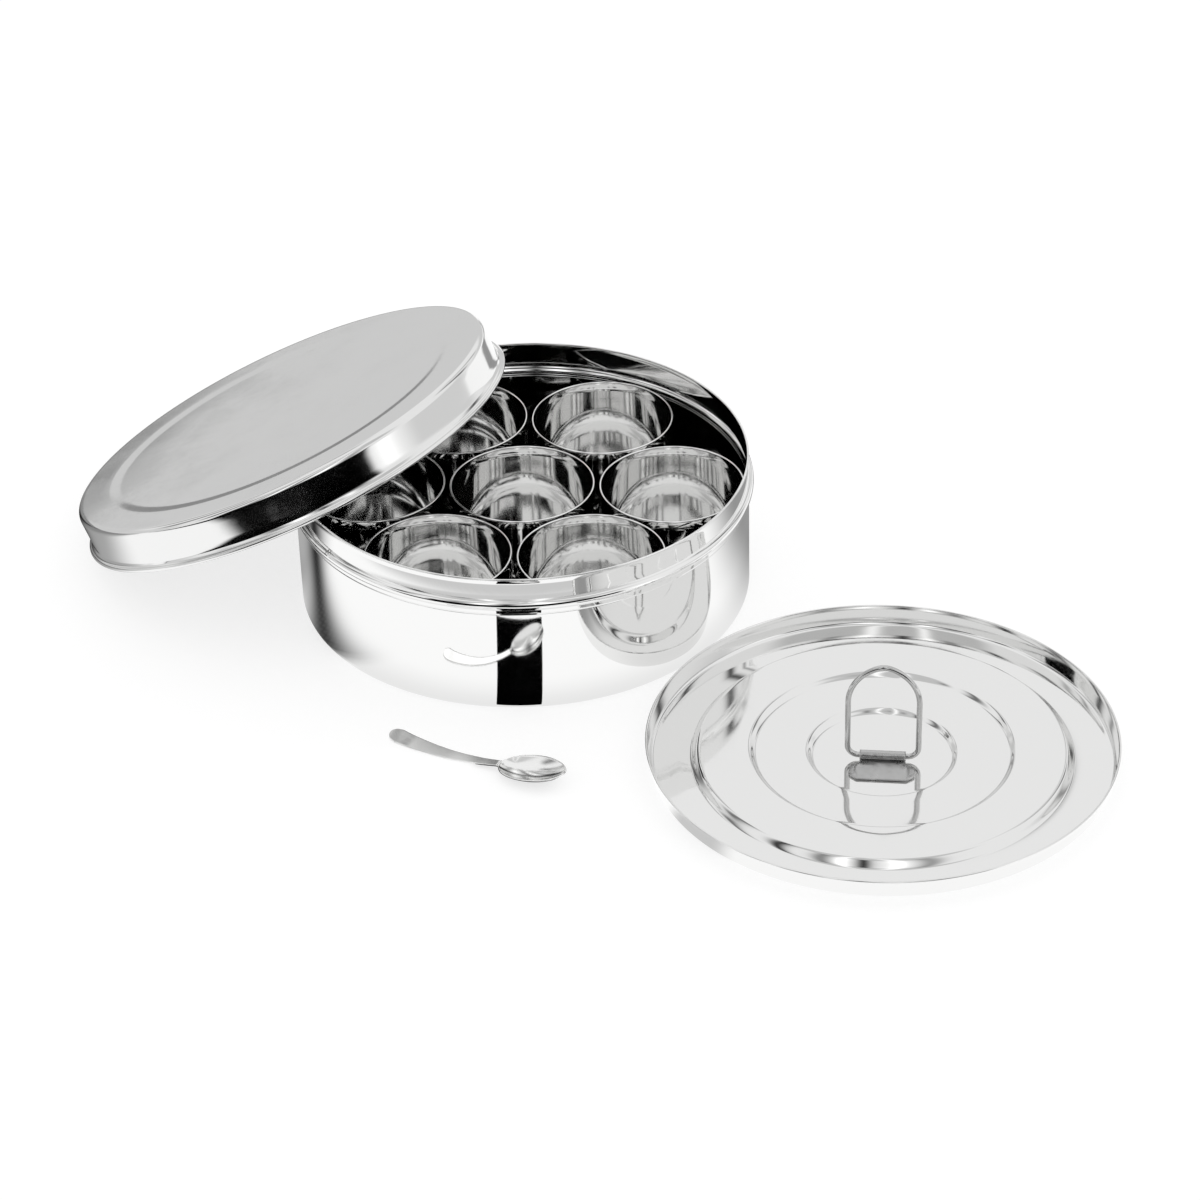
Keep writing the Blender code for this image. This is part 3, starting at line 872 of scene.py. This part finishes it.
# %% The table
TABLE_HALF_SIZE = 4.0
TABLE_HEIGHT = -0.0004
TABLE_GREY = 0.35
TABLE_SHINE = 0.72              # its own light, which keeps its shadows faint

table_work = bmesh.new()
bmesh.ops.create_grid(table_work, x_segments=1, y_segments=1, size=TABLE_HALF_SIZE,
                      matrix=Matrix.Translation((0, 0, TABLE_HEIGHT)))
table_mesh = finished_mesh("table", table_work)
table_material = bpy.data.materials.new("pale_table")
table_material.use_nodes = True
table_shader = table_material.node_tree.nodes["Principled BSDF"]
table_shader.inputs["Base Color"].default_value = (TABLE_GREY, TABLE_GREY, TABLE_GREY, 1)
table_shader.inputs["Roughness"].default_value = 0.9
table_shader.inputs["Specular IOR Level"].default_value = 0.0
table_shader.inputs["Emission Color"].default_value = (1, 1, 1, 1)
table_shader.inputs["Emission Strength"].default_value = TABLE_SHINE
table_mesh.materials.append(table_material)
table = bpy.data.objects.new("table", table_mesh)
bpy.context.scene.collection.objects.link(table)

# %% The even light
ROOM_LIGHT = 0.9

world = bpy.data.worlds.new("even_light")
bpy.context.scene.world = world
world.use_nodes = True
world.node_tree.nodes["Background"].inputs["Color"].default_value = (1, 1, 1, 1)
world.node_tree.nodes["Background"].inputs["Strength"].default_value = ROOM_LIGHT
bpy.context.scene.view_settings.view_transform = "Standard"

# %% [markdown]
# The room is white behind the table and grey low down. It is dark low on the
# camera's side, which the outer lid's skirt mirrors as a black band. A few
# narrow dark gaps between the white sheets, and two bright strips, give the
# cups their upright streaks.

# %% The room's reflection
# Each pair holds two angles in degrees: where a tone begins, and where it is full.
ROOM_RADIUS = 2.4
ROOM_WHITE = 0.92
LOW_BAND = (20, 12)
BACK_GREY, BACK_CENTRE, BACK_REACH = 0.68, -16, (75, 45)
SIDE_GREY, SIDE_CENTRE, SIDE_REACH = 0.72, 95, (30, 18)
FRONT_GREY, FRONT_REACH, FRONT_HEIGHT = 0.60, (75, 55), (44, 52)
GAP_FOOT, GAP_TOP = (15, 24), (56, 48)
SIDE_GAPS = [(-171, 5, 0.95), (-146, 6, 0.7), (-119, 6, 0.95), (-84, 9, 0.8), (-50, 5, 0.9),
             (-30, 4, 0.6), (30, 4, 0.6), (53, 6, 0.9), (152, 7, 0.6)]     # azimuth, half width, depth
BRIGHT_STRIPS, BRIGHT_GAIN, BRIGHT_FOOT = [(-158, 4), (170, 5)], 0.6, (22, 28)
DARK_LEFT, DARK_RIGHT, DARK_EDGE, DARK_TOP = 46, 47, 5, (29, 18)
LOW_STRIP, LOW_STRIP_GAIN = (125, 7), 0.4


def room_greys(azimuth, front, elevation):
    """The room's broad tones, without its strips and gaps."""
    low = fade(elevation, *LOW_BAND)
    glow = ROOM_WHITE
    glow += (BACK_GREY - glow) * low * fade(abs(azimuth - BACK_CENTRE), *BACK_REACH)
    glow += (SIDE_GREY - glow) * low * fade(abs(front - SIDE_CENTRE), *SIDE_REACH)
    glow += (FRONT_GREY - glow) * fade(front, *FRONT_REACH) * fade(elevation, *FRONT_HEIGHT)
    return glow


def room_glow(place):
    """Brightness of the room, by azimuth from straight behind the table and by elevation."""
    azimuth = math.degrees(math.atan2(place.x, place.y))
    elevation = math.degrees(math.asin(max(-1.0, min(1.0, place.z / place.length))))
    front = 180 - abs(azimuth)
    glow = room_greys(azimuth, front, elevation)
    for centre, half_width, depth in SIDE_GAPS:
        gap = strip(azimuth, centre, half_width) * fade(elevation, *GAP_FOOT) * fade(elevation, *GAP_TOP)
        glow *= 1 - depth * gap
    for centre, half_width in BRIGHT_STRIPS:
        glow += BRIGHT_GAIN * strip(azimuth, centre, half_width) * fade(elevation, *BRIGHT_FOOT)
    dark_from = DARK_RIGHT if azimuth > 0 else DARK_LEFT
    glow *= 1 - fade(front, dark_from, dark_from - DARK_EDGE) * fade(elevation, *DARK_TOP)
    return glow + LOW_STRIP_GAIN * strip(azimuth, *LOW_STRIP) * fade(elevation, *LOW_BAND)


room_work = bmesh.new()
bmesh.ops.create_uvsphere(room_work, u_segments=240, v_segments=120, radius=ROOM_RADIUS)
glow_board("room_reflection", room_work, room_glow)

# %% [markdown]
# The board on the table is a painted reflection: only the steel sees it, and
# the table itself stays evenly pale. The board is white near the box. It falls
# dark in front, a painted dark reflection, and under the leaning lid, its
# painted shadow, and it is grey on both sides of the box, painted shade, so that
# the round wall darkens towards its edges. A narrow black strip, which only the
# steel sees, runs straight to the box, and the wall mirrors it as a black stripe:
# a painted reflection.

# %% The table's reflection
# Each pair holds two places in metres: where a tone begins, and where it is full.
TABLE_WHITE = 1.08
# Painted dark reflection in front of the box and at its front-left corner; painted shade behind it on
# the left.
PAINTED_DARK_FRONT = (-0.40, -0.46)
LEFT_CORNER_X, LEFT_CORNER_Y = (-0.12, -0.16), (-0.19, -0.27)
LEFT_BACK_X, LEFT_BACK_Y, LEFT_BACK_DEPTH = (-0.17, -0.21), (0.01, 0.08), 0.35
# Painted shade round the box's foot, and on its left where the neck mirrors the table.
WALL_FOOT, WALL_FOOT_DEPTH = (0.140, 0.112), 0.16
NECK_INNER, NECK_OUTER, NECK_DEPTH = (0.198, 0.212), (0.250, 0.235), 0.40
NECK_LEFT, NECK_BACK = (-0.20, -0.17), (0.0, -0.02)
# Painted shadow of the leaning lid: a dark strip on the board under it.
LID_SHADE_PLACE, LID_SHADE_ACROSS = (-0.100, -0.050), (0.676, 0.737)
LID_SHADE_HALF_WIDTH, LID_SHADE_END, LID_SHADE_DEPTH = 0.017, (-0.085, -0.100), 0.95
# Painted shade on both sides of the box, which darkens the round wall towards its edges.
LEFT_SIDE_X, LEFT_SIDE_Y, LEFT_SIDE_DEPTH = (-0.10, -0.115), (-0.03, 0.02), 0.6
RIGHT_SIDE_X, RIGHT_SIDE_Y = (0.09, 0.11), (-0.050, 0.040)
RIGHT_SIDE_END, RIGHT_SIDE_DEPTH = (0.24, 0.20), 0.7


def table_greys(x, y):
    """The broad painted dark reflection in front of the box and at its front-left corner, and painted
    shade behind it on the left.
    """
    glow = TABLE_WHITE
    glow *= 1 - fade(y, *PAINTED_DARK_FRONT)
    glow *= 1 - fade(x, *LEFT_CORNER_X) * fade(y, *LEFT_CORNER_Y)
    return glow * (1 - LEFT_BACK_DEPTH * fade(x, *LEFT_BACK_X) * fade(y, *LEFT_BACK_Y))


def table_glow(place):
    """Brightness of the table's painted reflection, which only the steel sees: white, with painted shade
    and painted shadow.
    """
    x, y = place.x, place.y
    reach = math.hypot(x, y)
    glow = table_greys(x, y)
    glow *= 1 - WALL_FOOT_DEPTH * fade(reach, *WALL_FOOT)
    neck = fade(reach, *NECK_INNER) * fade(reach, *NECK_OUTER)
    glow *= 1 - NECK_DEPTH * neck * fade(x, *NECK_LEFT) * fade(y, *NECK_BACK)
    shade = ((x - LID_SHADE_PLACE[0]) * LID_SHADE_ACROSS[0]
             + (y - LID_SHADE_PLACE[1]) * LID_SHADE_ACROSS[1])
    glow *= 1 - LID_SHADE_DEPTH * strip(shade, 0.0, LID_SHADE_HALF_WIDTH) * fade(x, *LID_SHADE_END)
    glow *= 1 - LEFT_SIDE_DEPTH * fade(x, *LEFT_SIDE_X) * fade(y, *LEFT_SIDE_Y)
    right = fade(x, *RIGHT_SIDE_X) * fade(y, *RIGHT_SIDE_Y) * fade(x, *RIGHT_SIDE_END)
    return glow * (1 - RIGHT_SIDE_DEPTH * right)


# %% Lay the boards on the table
for name, size, height, cells in (("table_reflection_near", 0.45, -0.0002, 220),
                                  ("table_reflection_far", 2.3, -0.0003, 90)):
    sheet_work = bmesh.new()
    bmesh.ops.create_grid(sheet_work, x_segments=cells, y_segments=cells, size=size,
                          matrix=Matrix.Translation((0, -0.05, height)))
    glow_board(name, sheet_work, table_glow)

# Painted reflection: a black strip on the table that only the steel sees, which the box's wall mirrors
# as a black stripe.
stripe_work = bmesh.new()
stripe_corners = [(-0.0145, -0.1105), (0.0075, -0.1105), (0.0203, -0.188), (-0.0320, -0.188)]
stripe_work.faces.new([stripe_work.verts.new((x, y, -0.0001)) for x, y in stripe_corners])
glow_board("painted_black_stripe", stripe_work, lambda place: 0.0)
